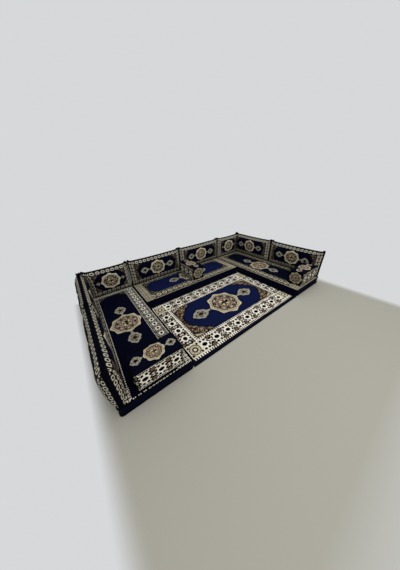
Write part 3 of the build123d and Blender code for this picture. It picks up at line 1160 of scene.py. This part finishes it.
def layRug():
    centre, size = boxOf("rug_backing")
    nu, nv = rug["cells"]
    x = np.linspace(-0.5, 0.5, nu + 1) * (size.x - 1 * mm)
    y = np.linspace(-0.5, 0.5, nv + 1) * (size.y - 1 * mm)
    px, py = np.meshgrid(x, y, indexing="ij")
    inset = np.minimum(size.x / 2 - np.abs(px), size.y / 2 - np.abs(py))
    lead, width = rug["slope"]
    share = np.clip((inset - rug["edgeWidth"] + lead) / width, 0, 1)
    share = share * share * (3 - 2 * share)
    ripple = (np.sin(px * 9 + py * 4) + np.sin(px * 4 - py * 11 + 1) + np.sin(px * 15 + 2)) / 3
    top = rug["edge"] + (rug["height"] - rug["edge"]) * share + ripple * rug["ripple"] * share
    count, corners, faces, ring = twoPanels(nu, nv)
    levels = (top, np.full_like(px, rug["low"]))
    verts = np.concatenate([np.stack([px, py, level], -1).reshape(-1, 3) for level in levels])
    faces = np.concatenate([faces, sideFaces(ring, ring + count)])
    slots = [0, 1] * (len(corners) // 2) + [1] * len(ring)
    piece = addPiece("rugSheet", verts, faces, verts[faces.ravel()][:, :2], slots)
    place = Matrix.Translation((centre.x, centre.y, 0))
    dress(piece, place, "floor_set", ["rug_backing", "rug_pile"], ["rug", "base"])
    return piece, size, place


def bindRug(size, place):
    # The flat edge strip: a rounded section carried round the rug
    draw = random.Random(5)
    corners = [(-1, -1), (1, -1), (1, 1), (-1, 1)]
    verts, stations = [], 0
    for k, (cx, cy) in enumerate(corners):
        nx, ny = corners[(k + 1) % 4]
        steps = rug["steps"][k % 2]
        stations += steps
        for i in range(steps):
            drift = draw.uniform(-rug["drift"], rug["drift"]) * mm
            for inset, level in rug["section"]:
                x = (cx + (nx - cx) * i / steps) * (size.x / 2 - inset * mm)
                y = (cy + (ny - cy) * i / steps) * (size.y / 2 - inset * mm)
                verts.append((x, y, level * mm + (drift if level > 6 else 0)))
    faces = loopFaces(stations, len(rug["section"]))
    piece = addPiece("rugBinding", verts, faces, np.array(verts)[faces.ravel()][:, :2])
    dress(piece, place, "floor_set", ["rug_binding"], ["binding"])
    return piece


rugSheet, rugSize, rugPlace = layRug()
rugBinding = bindRug(rugSize, rugPlace)
print("rug laid")

# the zips stay the CAD's own pieces
for side in seatPad["each"]:
    for node, name in ((f"seat_{side}_zip", "zipTape"), (f"seat_{side}_zip_slider", "brass")):
        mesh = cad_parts[node].data
        mesh.materials.clear()
        mesh.materials.append(cloths[name])

room = {
    "floor": tone(174, 172, 160),
    "beyond": tone(206, 207, 206),
    "backdrop": tone(214, 216, 218),
    "fade": 0.16,
    "near": 2.1,
    "nearFade": 0.9,
    "size": 30.0,
    "world": 0.62,
    "sky": (0.97, 0.98, 1.0, 1),
    "key": {"place": (-0.6, -3.4, 3.4), "aim": (0.2, 0.1, 0.2), "power": 55.0, "colour": (1, 0.98, 0.96)},
    "fill": {"place": (1.8, -0.6, 3.6), "aim": (0, 0, 0.2), "power": 30.0, "colour": (1, 1, 1)},
    "lampSize": 3.0,
}


def mixShaders(share, first, second, output):
    mix = addNode(share.tree, "MixShader", {0: share, 1: first.outputs[0], 2: second.outputs[0]})
    feed(share.tree.nodes[output].inputs["Surface"], mix.outputs[0])


def layFloor():
    # A pale floor that goes over into the backdrop behind the set and at the sides
    half = room["size"] / 2
    mesh = bpy.data.meshes.new("paleFloor")
    mesh.from_pydata([(-half, -half, 0), (half, -half, 0), (half, half, 0), (-half, half, 0)], [], [(0, 1, 2, 3)])
    material, tree, shader = startCloth("paleFloor", 0.6)
    x, y, z = split(piecePlace(tree))
    high = cadBox[1]
    away = ((abs(x) - high.x) | (y - high.y)) / room["fade"]
    away = (away * away).do("MINIMUM", 1.0) * ((abs(x) > high.x) | (y > high.y))
    away = away | ((y * -1 - room["near"]) / room["nearFade"]).do("MAXIMUM", 0.0).do("MINIMUM", 1.0)
    feed(shader.inputs["Base Color"], paint(room["floor"], (room["beyond"], away)))
    glow = addNode(tree, "Emission", {"Color": room["backdrop"]})
    seen = Flow(addNode(tree, "LightPath").outputs["Is Camera Ray"])
    mixShaders(away * seen, shader, glow, "Material Output")
    mesh.materials.append(material)
    floor = bpy.data.objects.new("paleFloor", mesh)
    floor.location.z = -0.5 * mm
    scene.collection.objects.link(floor)


def areaLight(name, lamp):
    data = bpy.data.lights.new(name, "AREA")
    data.shape, data.size, data.energy, data.color = "DISK", room["lampSize"], lamp["power"], lamp["colour"]
    light = bpy.data.objects.new(name, data)
    light.location = lamp["place"]
    light.rotation_euler = (Vector(lamp["aim"]) - Vector(lamp["place"])).to_track_quat("-Z", "Y").to_euler()
    scene.collection.objects.link(light)


def lightWorld():
    # Soft light for the set, and the backdrop's colour where the world itself is seen
    world = bpy.data.worlds.new("paleRoom")
    scene.world = world
    world.use_nodes = True
    tree = world.node_tree
    soft = tree.nodes["Background"]
    feed(soft.inputs["Color"], room["sky"])
    feed(soft.inputs["Strength"], room["world"])
    backdrop = addNode(tree, "Background", {"Color": room["backdrop"], "Strength": 1.0})
    rays = addNode(tree, "LightPath")
    kinds = ("Camera", "Glossy", "Transmission")
    seen, glossy, through = (Flow(rays.outputs[f"Is {kind} Ray"]) for kind in kinds)
    mixShaders(seen | glossy | through, soft, backdrop, "World Output")


layFloor()
areaLight("keyLight", room["key"])
areaLight("fillLight", room["fill"])
lightWorld()
scene.view_settings.view_transform = "Standard"
print("floor and light ready")

bpy.context.view_layer.update()
